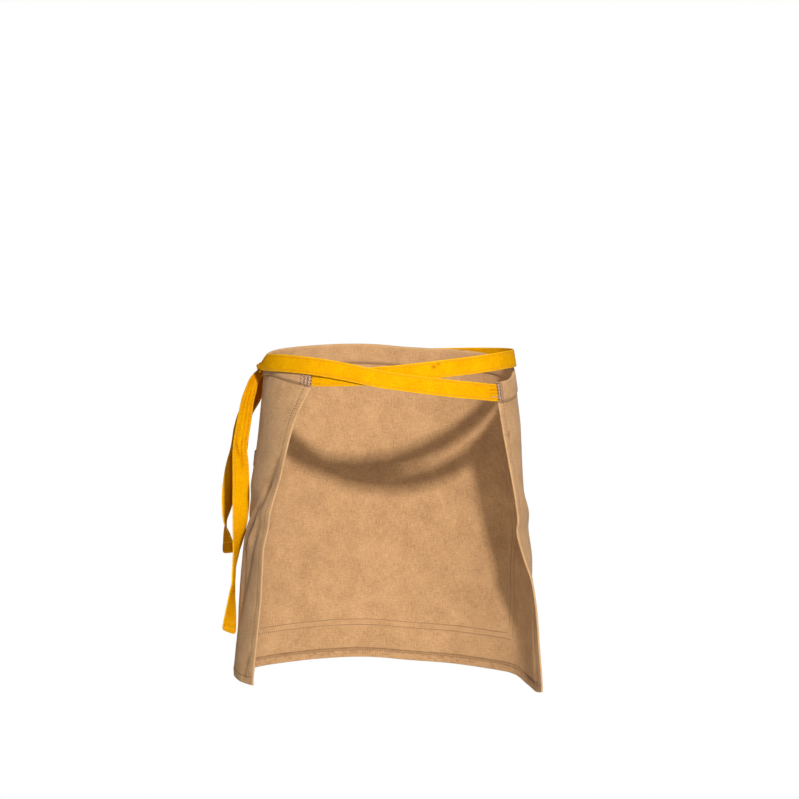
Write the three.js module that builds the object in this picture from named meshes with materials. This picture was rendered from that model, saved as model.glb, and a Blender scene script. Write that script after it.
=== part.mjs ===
// A short waiter apron as it hangs when worn: a canvas panel with turned hems, a wide patch pocket,
// a folded waistband and two cloth ties that cross behind the back and are knotted at the left hip.
// Millimetres. The origin is the centre of the waist loop, +X is the wearer's right, +Y the front, +Z up.
import * as THREE from "three";

// Cloth
const CANVAS = 1.1;
const GAP = 0.35;
const HEM_WIDTH = 10;
const HEM_EXTRA = 1.1;
const HEM_STEP = 0.6;

// Panel: a plain rectangle, worn a little towards the left hip
const PANEL_LEFT = 301;
const PANEL_RIGHT = 257;
const PANEL_DROP = 344;
const PANEL_TUCK = 0.7;
const TAKEN_UP = 0.034;
const TAKEN_UP_FROM = 90;
const PANEL_CENTRE = (PANEL_RIGHT - PANEL_LEFT) / 2;

// Waistband: one strip folded over the panel's top edge and the ends of the ties
const BAND_HEIGHT = 22.6;
const BAND_WALL = 1.0;
const BAND_HOLLOW = 2.6;
const BAND_HALF = BAND_HOLLOW / 2 + BAND_WALL;
const BAND_LIFT = 0.6;
const BAND_ROLL = -0.108;
const BAND_PITCH = 0.191;
const BAND_LEAN = 0.16;
const HIP_SIDE = 140;
const HIP_FROM = -45;
const LEFT_HIP_SHIFT = -7.5;
const LEFT_HIP_REACH = 45;
const RIGHT_HIP_SHIFT = 11;
const RIGHT_HIP_REACH = 90;

// Patch pocket on the front, measured down from the waistband's seam
const POCKET_WIDTH = 366;
const POCKET_TOP = 86;
const POCKET_BOTTOM = 308;
const POCKET_CLOTH = 1.0;
const POCKET_HEM = 18;
const POCKET_GAPE = 2.2;
const POCKET_GAPE_DROP = 120;

// Ties
const TIE_WIDTH = 19.5;
const TIE_THICK = 1.4;
const TIE_SEWN_IN = 16;
const TIE_STEP = 9;
const TIE_LINE = -(BAND_HEIGHT - BAND_WALL - 2 * GAP - TIE_WIDTH / 2);

// Knot: both ties, gathered to a small section, twist tightly round each other along the side of the hip
const KNOT_WIDTH = 6;
const KNOT_THICK = 2.8;
const KNOT_RADIUS = KNOT_THICK / 2 + 0.95;
const KNOT_TURNS = 1.5;
const KNOT_BACK = 22;
const KNOT_FRONT = 42;
const KNOT_SLANT = 0.435;
const KNOT_CLEAR = 1.3;
const KNOT_HEIGHT = 4.5;
const KNOT_STEPS = 40;
const KNOT_ROLL = 80;

// Mesh steps
const STEP_ACROSS = 11.5;
const STEP_DOWN = 17;
const WALK = 2;
const DROP_STEP = 10;
const SWING_REACH = 130;

// The worn outline at each level, from the waistband down. The half widths go to the wearer's left and right,
// depth is the half depth of the sides' curve, front is where the cloth crosses the front, and each swing turns
// the free edge outwards (or inwards, if negative) by so many degrees.
const LEVELS = [
  { drop: 0, left: 142.5, right: 141, depth: 105, front: 105, leftSwing: 0, rightSwing: 0 },
  { drop: 40, left: 146.7, right: 145.5, depth: 109, front: 109, leftSwing: 7.3, rightSwing: -2.4 },
  { drop: 85, left: 150.3, right: 147.4, depth: 113, front: 112, leftSwing: 9.1, rightSwing: 0.3 },
  { drop: 125, left: 155.9, right: 148.5, depth: 116.5, front: 115, leftSwing: 6.7, rightSwing: 3.1 },
  { drop: 140, left: 155.8, right: 151.4, depth: 117.8, front: 116, leftSwing: 8.7, rightSwing: 0.2 },
  { drop: 155, left: 158.4, right: 157.6, depth: 119, front: 117, leftSwing: 5.5, rightSwing: -8.5 },
  { drop: 185, left: 161, right: 162.2, depth: 121, front: 118.8, leftSwing: 7.8, rightSwing: -7.6 },
  { drop: 215, left: 163.5, right: 156.1, depth: 123, front: 120.3, leftSwing: 4.8, rightSwing: 7.6 },
  { drop: 255, left: 168, right: 156.7, depth: 126, front: 122, leftSwing: -1, rightSwing: 12.2 },
  { drop: 337, left: 179.7, right: 150, depth: 130, front: 126, leftSwing: -10.7, rightSwing: 22.5 },
];

// Folds in the panel: each is a soft ridge (height above 0) or valley along a line from one point of the cloth
// to another. Across is counted from the front centre, down from the waistband's seam.
const FOLDS = [
  { fromAcross: -276, fromDown: 122, toAcross: -222, toDown: 172, height: -5, width: 13 },
  { fromAcross: -286, fromDown: 172, toAcross: -262, toDown: 262, height: -4, width: 12 },
  { fromAcross: -262, fromDown: 150, toAcross: -225, toDown: 260, height: 3, width: 16 },
  { fromAcross: 225, fromDown: 128, toAcross: 188, toDown: 152, height: 4, width: 11 },
  { fromAcross: 150, fromDown: 170, toAcross: 168, toDown: 337, height: 4, width: 22 },
  { fromAcross: -150, fromDown: 200, toAcross: -165, toDown: 337, height: 4, width: 24 },
];

// Where each tie runs round the waist: along is measured round the ring from the front centre, positive to the
// wearer's right, out is the distance outside the panel's cloth, height is the middle of the tie, and gather is
// the share by which it is drawn together towards the knot's section.
const LEFT_TIE_RUN = [
  { along: -301, out: 0, height: -7.2, gather: 0 },
  { along: -345, out: 0, height: -6.8, gather: 0 },
  { along: -391, out: 0, height: -3.6, gather: 0 },
  { along: -469, out: 0.2, height: 4.8, gather: 0 },
  { along: -518, out: 2.6, height: 10.4, gather: 0 },
  { along: -550, out: 3.6, height: 13.8, gather: 0 },
  { along: -585, out: 4, height: 16, gather: 0 },
  { along: -608, out: 4.6, height: 17.4, gather: 0 },
  { along: -632, out: 4.8, height: 18.6, gather: 0 },
  { along: -690, out: 4, height: 19.4, gather: 0 },
  { along: -790, out: 4, height: 17.6, gather: 0 },
  { along: -870, out: 4, height: 13, gather: 0 },
  { along: -893, out: 4.6, height: 11, gather: 0.05 },
  { along: -908, out: 6.2, height: 9.4, gather: 0.45 },
  { along: -917, out: 7.3, height: 8, gather: 0.9 },
  { along: -924, out: 8, height: 7, gather: 1 },
];
const RIGHT_TIE_RUN = [
  { along: 257, out: 0, height: -24, gather: 0 },
  { along: 290, out: 0.9, height: -21.4, gather: 0 },
  { along: 323, out: 2.1, height: -18.8, gather: 0 },
  { along: 379, out: 2.6, height: -11.9, gather: 0 },
  { along: 410, out: 2.8, height: -6.4, gather: 0 },
  { along: 445, out: 3.2, height: 0.8, gather: 0 },
  { along: 478, out: 3.6, height: 5.8, gather: 0 },
  { along: 510, out: 4, height: 8.8, gather: 0 },
  { along: 536, out: 4.6, height: 10.2, gather: 0 },
  { along: 550, out: 5, height: 10.6, gather: 0.04 },
  { along: 562, out: 5.8, height: 9.2, gather: 0.34 },
  { along: 572, out: 6.8, height: 8.9, gather: 0.64 },
  { along: 581, out: 7.6, height: 8.2, gather: 0.93 },
  { along: 592, out: 7.4, height: 7.6, gather: 1 },
  { along: 600, out: 7.3, height: 7, gather: 1 },
];

// The hanging ends: points down the middle of each end, the plan direction of its width in degrees from +X, how
// far its face tips up, its width and thickness as it opens out of the knot, and the depth of the crease along it,
// below zero where the crease stands out on the inner face.
const LEFT_TIE_END = [
  { x: -148.4, y: 18, z: 1.4, facing: 180, tip: -80, width: 6.4, thick: 2.9, crease: 0 },
  { x: -150, y: 11, z: -0.8, facing: 180, tip: -66, width: 7.6, thick: 2.8, crease: -0.6 },
  { x: -152.8, y: 4.6, z: -4.6, facing: 180, tip: -48, width: 9.2, thick: 2.7, crease: -1.4 },
  { x: -155.6, y: 0.4, z: -10.4, facing: 180, tip: -26, width: 11, thick: 2.5, crease: -2.4 },
  { x: -158.4, y: -2.2, z: -20.5, facing: 180, tip: -9, width: 13.4, thick: 2.2, crease: -3.2 },
  { x: -161.7, y: -3.5, z: -31.6, facing: 180, tip: 0, width: 14.6, thick: 1.9, crease: -3.4 },
  { x: -165.2, y: -4, z: -52, facing: 178, tip: 0, width: 16.2, thick: 1.6, crease: -3 },
  { x: -168.6, y: -4, z: -72, facing: 178, tip: 0, width: 16.8, thick: 1.5, crease: -2.4 },
  { x: -170.6, y: -4, z: -86, facing: 180, tip: 0, width: 16.2, thick: 1.5, crease: -3 },
  { x: -169.7, y: -4, z: -106, facing: 182, tip: 0, width: 18.6, thick: 1.4, crease: -1 },
  { x: -169.3, y: -4, z: -140, facing: 184, tip: 0, width: 19.3, thick: 1.4, crease: 0 },
  { x: -169.7, y: -4, z: -156, facing: 202, tip: 0, width: 19.5, thick: 1.4, crease: 0 },
  { x: -171.6, y: -4, z: -180.6, facing: 226, tip: 0, width: 19.5, thick: 1.4, crease: 0 },
  { x: -174.6, y: -4, z: -201, facing: 251, tip: 0, width: 19.5, thick: 1.4, crease: -0.8 },
  { x: -177.3, y: -4, z: -222, facing: 264, tip: 0, width: 19.5, thick: 1.4, crease: -1.6 },
  { x: -178.2, y: -4, z: -238, facing: 263, tip: 0, width: 19.5, thick: 1.4, crease: -1.6 },
  { x: -179.9, y: -4, z: -255, facing: 250, tip: 0, width: 19.5, thick: 1.4, crease: -0.8 },
  { x: -181.3, y: -4, z: -275, facing: 231, tip: 0, width: 19.5, thick: 1.4, crease: 0 },
  { x: -183.2, y: -4, z: -294, facing: 216, tip: 0, width: 19.5, thick: 1.4, crease: 0 },
];
const RIGHT_TIE_END = [
  { x: -139.4, y: 46, z: 1.8, facing: 0, tip: -78, width: 6.4, thick: 2.9, crease: 0 },
  { x: -143.5, y: 50, z: 0.2, facing: 0, tip: -56, width: 8, thick: 2.8, crease: 0.5 },
  { x: -148.3, y: 51, z: -5.5, facing: 0, tip: -30, width: 11, thick: 2.6, crease: 1.2 },
  { x: -151.2, y: 50, z: -15, facing: 0, tip: -10, width: 13, thick: 2.3, crease: 2 },
  { x: -155.8, y: 47.5, z: -28, facing: 0, tip: 0, width: 14.5, thick: 1.9, crease: 2.4 },
  { x: -165.9, y: 44, z: -45, facing: 2, tip: 0, width: 16, thick: 1.6, crease: 2 },
  { x: -170.8, y: 42, z: -64, facing: 4, tip: 0, width: 18.4, thick: 1.4, crease: 1 },
  { x: -174, y: 41, z: -87, facing: 6, tip: 0, width: 19.5, thick: 1.4, crease: 0 },
  { x: -179.4, y: 40, z: -107, facing: 10, tip: 0, width: 19.5, thick: 1.4, crease: 0 },
  { x: -184, y: 40, z: -130, facing: 28, tip: 0, width: 19.5, thick: 1.4, crease: 0 },
  { x: -188.1, y: 40, z: -155, facing: 62, tip: 0, width: 19.5, thick: 1.4, crease: 0.8 },
  { x: -190, y: 40, z: -172, facing: 88, tip: 0, width: 19.5, thick: 1.4, crease: 1.6 },
  { x: -187.9, y: 40, z: -185, facing: 114, tip: 0, width: 19.5, thick: 1.4, crease: 0.8 },
  { x: -184.9, y: 40, z: -206.4, facing: 144, tip: 0, width: 19.5, thick: 1.4, crease: 0 },
];

const radians = THREE.MathUtils.degToRad;
const smooth = (x) => THREE.MathUtils.smoothstep(x, 0, 1);

// Looks up a table of rows by one of its columns, with a smooth cubic through the other columns' values.
function fromTable(rows, key, at, columns) {
  const rising = rows[rows.length - 1][key] > rows[0][key] ? 1 : -1;
  let i = 0;
  while (i < rows.length - 2 && rising * at > rising * rows[i + 1][key]) i += 1;
  const [before, low, high, after] = [rows[i - 1] ?? rows[i], rows[i], rows[i + 1], rows[i + 2] ?? rows[i + 1]];
  const span = high[key] - low[key];
  const u = THREE.MathUtils.clamp((at - low[key]) / span, 0, 1);
  const row = {};
  for (const column of columns) {
    const slopeLow = ((high[column] - before[column]) / (high[key] - before[key])) * span;
    const slopeHigh = ((after[column] - low[column]) / (after[key] - low[key])) * span;
    const rise = high[column] - low[column];
    row[column] = low[column] + u * (slopeLow + u * (3 * rise - 2 * slopeLow - slopeHigh
      + u * (slopeLow + slopeHigh - 2 * rise)));
  }
  return row;
}

const levelAt = (drop) =>
  fromTable(LEVELS, "drop", drop, ["left", "right", "depth", "front", "leftSwing", "rightSwing"]);

// Walks round one level from the front centre and keeps a point every WALK millimetres, so that the cloth is
// as wide at every level. Each half is a quarter ellipse whose free edge swings by the level's angle.
function walkLevel(drop, side) {
  const level = levelAt(drop);
  const halfWidth = side < 0 ? level.left : level.right;
  const edge = side < 0 ? PANEL_LEFT : PANEL_RIGHT;
  const swing = radians(side < 0 ? level.leftSwing : level.rightSwing);
  const points = [{ x: 0, y: level.front, heading: 0 }];
  let turn = 0;
  for (let along = 0; along < 400; along += WALK) {
    const dx = halfWidth * Math.cos(turn);
    const dy = -level.depth * Math.sin(turn);
    const heading = Math.atan2(dy, dx) + swing * smooth((along - edge + SWING_REACH) / SWING_REACH);
    const last = points[points.length - 1];
    points.push({ x: last.x + WALK * Math.cos(heading), y: last.y + WALK * Math.sin(heading), heading });
    turn += WALK / Math.hypot(dx, dy);
  }
  return points;
}

const walks = new Map();

function planPoint(across, drop) {
  const side = across < 0 ? -1 : 1;
  const key = `${side} ${drop.toFixed(3)}`;
  if (!walks.has(key)) walks.set(key, walkLevel(drop, side));
  const walk = walks.get(key);
  const at = Math.min(Math.abs(across) / WALK, walk.length - 1.001);
  const [a, b, u] = [walk[Math.floor(at)], walk[Math.floor(at) + 1], at % 1];
  const heading = THREE.MathUtils.lerp(a.heading, b.heading, u);
  return {
    x: side * THREE.MathUtils.lerp(a.x, b.x, u),
    y: THREE.MathUtils.lerp(a.y, b.y, u),
    outX: -side * Math.sin(heading),
    outY: Math.cos(heading),
  };
}

function foldHeight(across, down) {
  let height = 0;
  for (const fold of FOLDS) {
    const runAcross = fold.toAcross - fold.fromAcross;
    const runDown = fold.toDown - fold.fromDown;
    const run = Math.hypot(runAcross, runDown);
    const fromStart = ((across - fold.fromAcross) * runAcross + (down - fold.fromDown) * runDown) / run;
    const aside = ((across - fold.fromAcross) * runDown - (down - fold.fromDown) * runAcross) / run;
    const past = Math.max(0, -fromStart, fromStart - run);
    height += fold.height * Math.exp(-((aside / fold.width) ** 2) - (past / (2 * fold.width)) ** 2);
  }
  return height;
}

// The height of the waistband's middle: a tilted plane, drawn down at the left hip and up at the right hip.
function bandTilt(x, y) {
  const [shift, reach] = x < 0 ? [LEFT_HIP_SHIFT, LEFT_HIP_REACH] : [RIGHT_HIP_SHIFT, RIGHT_HIP_REACH];
  const atHip = smooth(Math.abs(x) / HIP_SIDE) * smooth((y - HIP_FROM) / reach);
  return BAND_LIFT + BAND_ROLL * x + BAND_PITCH * y + shift * atHip;
}

// The middle of the cloth at a distance across and down, hung so that each thread keeps its length but for the
// share that small creases take up towards the right edge. Above the seam it leans in with the waistband.
function clothPoint(across, down) {
  const seam = planPoint(across, 0);
  const hung = 1 - TAKEN_UP * smooth((across - TAKEN_UP_FROM) / (PANEL_RIGHT - TAKEN_UP_FROM));
  let z = bandTilt(seam.x, seam.y) - BAND_HEIGHT / 2;
  let last = seam;
  const count = Math.max(1, Math.ceil(Math.abs(down) / DROP_STEP));
  for (let i = 1; i <= count; i += 1) {
    const next = planPoint(across, (down * i) / count);
    const slide = Math.hypot(next.x - last.x, next.y - last.y);
    z -= Math.sign(down) * Math.sqrt(Math.max(0, ((hung * down) / count) ** 2 - slide ** 2));
    last = next;
  }
  const shift = down > 0 ? foldHeight(across, down) * smooth(down / 60) : BAND_LEAN * down;
  return new THREE.Vector3(last.x + shift * last.outX, last.y + shift * last.outY, z);
}

function clothNormal(across, down) {
  const near = 1.5;
  const alongAcross = clothPoint(across + near, down).sub(clothPoint(across - near, down));
  const alongDown = clothPoint(across, down + near).sub(clothPoint(across, down - near));
  return alongAcross.cross(alongDown).normalize();
}

// Even steps from one value to another, with chosen values kept among them.
function steps(from, to, step, kept = []) {
  const stops = [from, ...kept, to].sort((a, b) => a - b);
  const list = [from];
  for (let i = 1; i < stops.length; i += 1) {
    const count = Math.max(1, Math.round((stops[i] - stops[i - 1]) / step));
    for (let k = 1; k < count; k += 1) list.push(THREE.MathUtils.lerp(stops[i - 1], stops[i], k / count));
    list.push(stops[i]);
  }
  return list;
}

function closedGeometry(points, triangles) {
  const geometry = new THREE.BufferGeometry().setFromPoints(points);
  const [a, b, c] = [new THREE.Vector3(), new THREE.Vector3(), new THREE.Vector3()];
  let volume = 0;
  for (const [i, j, k] of triangles) {
    volume += a.copy(points[i]).dot(b.copy(points[j]).cross(c.copy(points[k])));
  }
  geometry.setIndex(triangles.flatMap(([i, j, k]) => (volume > 0 ? [i, j, k] : [i, k, j])));
  geometry.computeVertexNormals();
  return geometry;
}

// A wall of cloth over a grid of places, between an inner and an outer distance from the middle of the panel.
function clothWall(acrossList, downList, inner, outer) {
  const [columns, rows] = [acrossList.length, downList.length];
  const points = [];
  for (const face of [outer, inner]) {
    for (const down of downList) {
      for (const across of acrossList) {
        points.push(clothPoint(across, down).addScaledVector(clothNormal(across, down), face(across, down)));
      }
    }
  }
  const at = (face, row, column) => (face * rows + row) * columns + column;
  const triangles = [];
  const quad = (a, b, c, d) => triangles.push([a, b, c], [a, c, d]);
  const [right, bottom] = [columns - 1, rows - 1];
  for (let row = 0; row < bottom; row += 1) {
    for (let column = 0; column < right; column += 1) {
      quad(at(0, row, column), at(0, row, column + 1), at(0, row + 1, column + 1), at(0, row + 1, column));
      quad(at(1, row, column), at(1, row + 1, column), at(1, row + 1, column + 1), at(1, row, column + 1));
    }
    quad(at(0, row, 0), at(0, row + 1, 0), at(1, row + 1, 0), at(1, row, 0));
    quad(at(0, row, right), at(1, row, right), at(1, row + 1, right), at(0, row + 1, right));
  }
  for (let column = 0; column < right; column += 1) {
    quad(at(0, 0, column), at(1, 0, column), at(1, 0, column + 1), at(0, 0, column + 1));
    quad(at(0, bottom, column), at(0, bottom, column + 1), at(1, bottom, column + 1), at(1, bottom, column));
  }
  return closedGeometry(points, triangles);
}

// A solid lofted through sections that all have the same number of points, with flat ends.
function loft(sections, endTriangles) {
  const count = sections[0].length;
  const triangles = [];
  for (let i = 0; i < sections.length - 1; i += 1) {
    for (let k = 0; k < count; k += 1) {
      const [a, b] = [i * count + k, i * count + ((k + 1) % count)];
      triangles.push([a, b, b + count], [a, b + count, a + count]);
    }
  }
  const last = (sections.length - 1) * count;
  for (const [a, b, c] of endTriangles) triangles.push([a, c, b], [last + a, last + b, last + c]);
  return closedGeometry(sections.flat(), triangles);
}

// The grid of places that the panel and the pocket share, so that their facets lie parallel.
const LEFT_HEM = HEM_WIDTH - PANEL_LEFT;
const RIGHT_HEM = PANEL_RIGHT - HEM_WIDTH;
const BOTTOM_HEM = PANEL_DROP - HEM_WIDTH;
const POCKET_LEFT = PANEL_CENTRE - POCKET_WIDTH / 2;
const POCKET_RIGHT = PANEL_CENTRE + POCKET_WIDTH / 2;
const POCKET_HEM_END = POCKET_TOP + POCKET_HEM;
const GRID_ACROSS = steps(-PANEL_LEFT, PANEL_RIGHT, STEP_ACROSS, [
  LEFT_HEM, LEFT_HEM + HEM_STEP, TIE_SEWN_IN - PANEL_LEFT, POCKET_LEFT,
  POCKET_RIGHT, PANEL_RIGHT - TIE_SEWN_IN, RIGHT_HEM - HEM_STEP, RIGHT_HEM,
]);
const GRID_DOWN = steps(-PANEL_TUCK, PANEL_DROP, STEP_DOWN, [
  0.4, 1, POCKET_TOP, POCKET_HEM_END, POCKET_HEM_END + HEM_STEP,
  POCKET_BOTTOM, BOTTOM_HEM - HEM_STEP, BOTTOM_HEM,
]);

function panelGeometry() {
  const inHem = (across, down) =>
    down > 0.5 && (across <= LEFT_HEM || across >= RIGHT_HEM || down >= BOTTOM_HEM);
  const inner = (across, down) => -CANVAS / 2 - (inHem(across, down) ? HEM_EXTRA : 0);
  return clothWall(GRID_ACROSS, GRID_DOWN, inner, () => CANVAS / 2);
}

function pocketGeometry() {
  const gape = (across, down) => POCKET_GAPE * Math.cos((Math.PI * (across - PANEL_CENTRE)) / POCKET_WIDTH)
    * (1 - smooth((down - POCKET_TOP) / POCKET_GAPE_DROP));
  const inner = (across, down) => CANVAS / 2 + GAP + gape(across, down);
  const outer = (across, down) => inner(across, down) + POCKET_CLOTH * (down <= POCKET_HEM_END ? 2 : 1);
  return clothWall(
    GRID_ACROSS.filter((across) => across >= POCKET_LEFT && across <= POCKET_RIGHT),
    GRID_DOWN.filter((down) => down >= POCKET_TOP && down <= POCKET_BOTTOM),
    inner, outer,
  );
}

// The waistband's section: a strip folded double, open downwards, as distances out from and down the cloth.
function bandGeometry() {
  const [top, roofed, hollow] = [-BAND_HEIGHT, -BAND_HEIGHT + BAND_WALL, BAND_HOLLOW / 2];
  const soft = 0.8;
  const outline = [
    [BAND_HALF, 0], [BAND_HALF, top + soft], [BAND_HALF - soft, top], [soft - BAND_HALF, top],
    [-BAND_HALF, top + soft], [-BAND_HALF, 0], [-hollow, 0], [-hollow, roofed], [hollow, roofed], [hollow, 0],
  ];
  const ends = [[0, 1, 8], [0, 8, 9], [1, 2, 8], [2, 7, 8], [2, 3, 7], [3, 4, 7], [4, 6, 7], [4, 5, 6]];
  const sections = GRID_ACROSS.map((across) =>
    outline.map(([out, down]) => clothPoint(across, down).addScaledVector(clothNormal(across, down), out)));
  return loft(sections, ends);
}

// Half the length of the waist loop on one side, from the front centre to the back centre.
function halfRing(side) {
  const { [side]: a, depth: b } = levelAt(TIE_LINE);
  return (Math.PI / 2) * (3 * (a + b) - Math.sqrt((3 * a + b) * (a + 3 * b)));
}

const leftRing = halfRing("left");
const rightRing = halfRing("right");

function ringPoint(along) {
  let place = along;
  if (place < -leftRing) place += leftRing + rightRing;
  if (place > rightRing) place -= leftRing + rightRing;
  return planPoint(place, TIE_LINE);
}

const gatheredTie = (share) => ({
  width: THREE.MathUtils.lerp(TIE_WIDTH, KNOT_WIDTH, share),
  thick: THREE.MathUtils.lerp(TIE_THICK, KNOT_THICK, share),
  crease: 0,
});

// A tie's stretch round the waist, as frames: the middle point, the direction out of the cloth and the section.
function runFrames(run, direction) {
  const start = run[0].along;
  const end = run[run.length - 1].along;
  const sewn = [TIE_SEWN_IN, HEM_WIDTH, 0].map((inside) => {
    const across = start - direction * inside;
    return { point: clothPoint(across, TIE_LINE), out: clothNormal(across, TIE_LINE), ...gatheredTie(0) };
  });
  const places = direction > 0 ? steps(start, end, TIE_STEP) : steps(end, start, TIE_STEP).reverse();
  return [...sewn, ...places.slice(1).map((along) => {
    const ring = ringPoint(along);
    const { out, height, gather } = fromTable(run, "along", along, ["out", "height", "gather"]);
    const above = height - bandTilt(ring.x, ring.y) + BAND_HEIGHT / 2;
    const reach = out - BAND_LEAN * above;
    const roll = radians(KNOT_ROLL * gather ** 2);
    const level = Math.cos(roll);
    return {
      point: new THREE.Vector3(ring.x + reach * ring.outX, ring.y + reach * ring.outY, height),
      out: new THREE.Vector3(level * ring.outX, level * ring.outY, level * BAND_LEAN + Math.sin(roll)),
      ...gatheredTie(gather),
    };
  })];
}

// A tie's stretch in the knot. It enters on top and leaves below.
function knotFrames(direction) {
  const reach = Math.hypot(KNOT_RADIUS + KNOT_THICK / 2, KNOT_WIDTH / 2);
  const middleY = (KNOT_BACK + KNOT_FRONT) / 2;
  const hip = levelAt(0);
  const hipX = hip.left * Math.sqrt(1 - (middleY / hip.depth) ** 2);
  const middleX = -(hipX + (BAND_HALF + KNOT_CLEAR + reach) * Math.hypot(1, KNOT_SLANT));
  return Array.from({ length: KNOT_STEPS + 1 }, (_, i) => {
    const share = direction > 0 ? i / KNOT_STEPS : 1 - i / KNOT_STEPS;
    const turned = KNOT_TURNS * (0.6 * share + 0.4 * smooth(share)) + (direction > 0 ? 0.25 : 0.75);
    const twist = 2 * Math.PI * turned;
    const spoke = new THREE.Vector3(1, -KNOT_SLANT, 0).normalize().multiplyScalar(Math.cos(twist));
    spoke.z = Math.sin(twist);
    const y = THREE.MathUtils.lerp(KNOT_BACK, KNOT_FRONT, share);
    const along = new THREE.Vector3(KNOT_SLANT, 1, 0).multiplyScalar(direction).normalize();
    return {
      along,
      point: new THREE.Vector3(middleX + KNOT_SLANT * (y - middleY), y, KNOT_HEIGHT)
        .addScaledVector(spoke, KNOT_RADIUS),
      out: spoke,
      ...gatheredTie(1),
    };
  });
}

// A hanging end. The direction out of the cloth is square to the width's plan direction.
function endFrames(rows) {
  return rows.map(({ x, y, z, facing, tip, width, thick, crease }) => {
    const level = Math.cos(radians(tip));
    const out = new THREE.Vector3(
      level * Math.sin(radians(facing)), -level * Math.cos(radians(facing)), Math.sin(radians(tip)));
    return { point: new THREE.Vector3(x, y, z), out, width, thick, crease };
  });
}

// A tie lofted through its frames. Each section is a flat strip, creased along its middle where it is gathered.
function tieGeometry(frames) {
  const shares = [-0.5, 0, 0.5];
  const line = new THREE.CatmullRomCurve3(frames.map((frame) => frame.point), false, "centripetal");
  const sections = frames.map((frame, i) => {
    const along = frame.along ?? line.getTangent(i / (frames.length - 1));
    const sideways = new THREE.Vector3().crossVectors(along, frame.out).normalize();
    const out = new THREE.Vector3().crossVectors(sideways, along).normalize();
    const place = (share, face) => frame.point.clone()
      .addScaledVector(sideways, share * frame.width)
      .addScaledVector(out, (share === 0 ? frame.crease : 0) + (face * frame.thick) / 2);
    return [...shares.map((share) => place(share, 1)), ...shares.toReversed().map((share) => place(share, -1))];
  });
  return loft(sections, [[0, 1, 4], [0, 4, 5], [1, 2, 3], [1, 3, 4]]);
}

const leftTieFrames = [...runFrames(LEFT_TIE_RUN, -1), ...knotFrames(-1), ...endFrames(LEFT_TIE_END)];
const rightTieFrames = [...runFrames(RIGHT_TIE_RUN, 1), ...knotFrames(1), ...endFrames(RIGHT_TIE_END)];

const canvas = new THREE.MeshStandardMaterial({ color: "#b08c64", roughness: 0.9, metalness: 0 });
const yellow = new THREE.MeshStandardMaterial({ color: "#f5b208", roughness: 0.85, metalness: 0 });

function piece(name, geometry, material) {
  const mesh = new THREE.Mesh(geometry, material);
  mesh.name = name;
  return mesh;
}

const apron = new THREE.Group();
apron.add(
  piece("panel", panelGeometry(), canvas),
  piece("pocket", pocketGeometry(), canvas),
  piece("waistband", bandGeometry(), canvas),
  piece("tie_left", tieGeometry(leftTieFrames), yellow),
  piece("tie_right", tieGeometry(rightTieFrames), yellow),
);

export default apron;
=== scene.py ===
"""A short waiter apron in its worn form: tan twill panel with turned hems, wide patch pocket, folded
waistband, and golden-yellow ties that cross behind the back and are knotted at the left hip.

The tables and the cloth's own lengths are in millimetres, the meshes in metres. The frame is the part's own:
+X is the wearer's right, +Y the front, +Z up, with the origin at the centre of the waist loop.
"""
import math

import bpy
import numpy as np
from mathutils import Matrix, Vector


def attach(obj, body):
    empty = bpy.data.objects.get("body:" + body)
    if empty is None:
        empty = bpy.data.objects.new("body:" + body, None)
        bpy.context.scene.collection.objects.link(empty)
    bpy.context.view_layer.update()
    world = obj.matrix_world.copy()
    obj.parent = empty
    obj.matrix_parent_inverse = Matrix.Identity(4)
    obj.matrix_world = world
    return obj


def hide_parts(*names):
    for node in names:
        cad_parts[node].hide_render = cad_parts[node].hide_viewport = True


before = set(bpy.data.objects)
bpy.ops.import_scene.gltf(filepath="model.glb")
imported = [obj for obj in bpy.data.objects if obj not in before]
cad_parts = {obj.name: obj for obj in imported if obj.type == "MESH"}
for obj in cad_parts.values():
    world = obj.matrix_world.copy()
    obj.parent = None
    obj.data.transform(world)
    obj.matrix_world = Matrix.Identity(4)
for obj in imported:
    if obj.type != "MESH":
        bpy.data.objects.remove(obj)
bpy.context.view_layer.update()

MM = 0.001

# Panel
CANVAS = 1.1
HEM_WIDTH = 10
HEM_EXTRA = 1.1
HEM_STITCH = 8.4
PANEL_LEFT = 301
PANEL_RIGHT = 257
PANEL_DROP = 344
PANEL_TUCK = 0.7
PANEL_CENTRE = (PANEL_RIGHT - PANEL_LEFT) / 2
TAKEN_UP = 0.034
TAKEN_UP_FROM = 90
SWING_REACH = 130

# Waistband
BAND_HEIGHT = 22.6
BAND_WALL = 1.0
BAND_HALF = 2.3
BAND_LIFT = 0.6
BAND_ROLL = -0.108
BAND_PITCH = 0.191
BAND_LEAN = 0.16
LEFT_TACKS = (2.4, 6.8, 11.2)
RIGHT_TACKS = (2.2, 6.2)
TACK_SWING = 1.9
TACK_MARGIN = 3
HIP_SIDE = 140
HIP_FROM = -45
LEFT_HIP_SHIFT = -7.5
LEFT_HIP_REACH = 45
RIGHT_HIP_SHIFT = 11
RIGHT_HIP_REACH = 90

# Patch pocket
POCKET_WIDTH = 366
POCKET_LEFT = PANEL_CENTRE - POCKET_WIDTH / 2
POCKET_RIGHT = PANEL_CENTRE + POCKET_WIDTH / 2
POCKET_TOP = 86
POCKET_BOTTOM = 308
POCKET_CLOTH = 1.0
POCKET_HEM = 18
POCKET_GAPE = 2.2
POCKET_GAPE_DROP = 120
POCKET_OFF = CANVAS / 2 + 0.35
POCKET_ROWS = (2.0, 8.5)

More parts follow.
